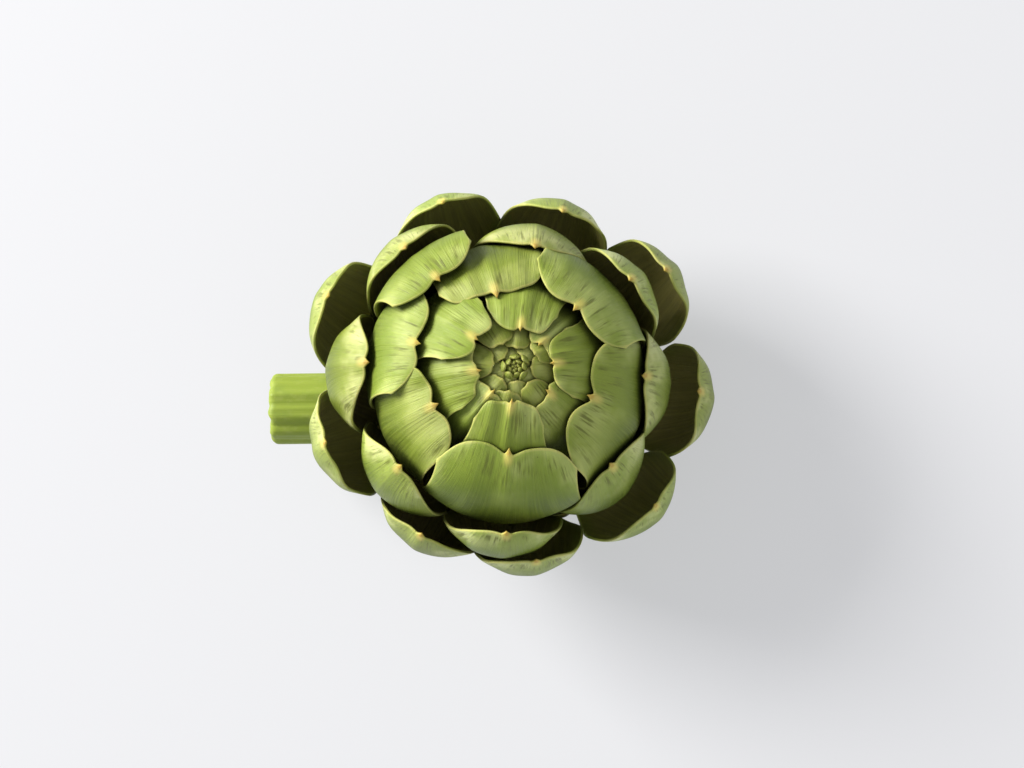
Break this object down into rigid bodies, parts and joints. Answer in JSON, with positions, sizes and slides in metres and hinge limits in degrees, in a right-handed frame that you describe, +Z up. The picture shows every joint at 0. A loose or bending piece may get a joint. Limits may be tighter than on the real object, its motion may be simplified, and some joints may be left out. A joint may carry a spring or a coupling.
{
  "type": "globe artichoke",
  "caption": "Fresh globe artichoke head of overlapping fleshy bracts round a closed bud, lying on its short bent stem.",
  "frame": {"origin": "centre of the bounding box at the surface that the artichoke lies on", "axes": "+Z up from the surface, +X from the cut end of the stem towards the head, +Y to the left of that"},
  "size_m": [0.1397, 0.1033, 0.0972],
  "materials": {
    "bract_green": "satin waxy leaf",
    "bud_green": "satin waxy leaf",
    "stem_green": "satin ribbed stalk"
  },
  "bodies": {
    "root": {"stem": "stem_green", "bud": "bud_green", "bract_lower_1": "bract_green", "bract_lower_2": "bract_green", "bract_lower_3": "bract_green", "bract_lower_4": "bract_green", "bract_lower_5": "bract_green", "bract_lower_6": "bract_green", "bract_lower_7": "bract_green", "bract_lower_8": "bract_green", "bract_lower_9": "bract_green", "bract_outer_1": "bract_green", "bract_outer_2": "bract_green", "bract_outer_3": "bract_green", "bract_outer_4": "bract_green", "bract_outer_5": "bract_green", "bract_outer_6": "bract_green", "bract_outer_7": "bract_green", "bract_outer_8": "bract_green", "bract_outer_9": "bract_green", "bract_second_1": "bract_green", "bract_second_2": "bract_green", "bract_second_3": "bract_green", "bract_second_4": "bract_green", "bract_second_5": "bract_green", "bract_second_6": "bract_green", "bract_second_7": "bract_green", "bract_second_8": "bract_green", "bract_third_1": "bract_green", "bract_third_2": "bract_green", "bract_third_3": "bract_green", "bract_third_4": "bract_green", "bract_third_5": "bract_green", "bract_third_6": "bract_green", "bract_third_7": "bract_green", "bract_inner_1": "bract_green", "bract_inner_2": "bract_green", "bract_inner_3": "bract_green", "bract_inner_4": "bract_green", "bract_inner_5": "bract_green", "bract_inner_6": "bract_green", "bract_inner_7": "bract_green", "bract_inner_8": "bract_green"}
  },
  "joints": []
}
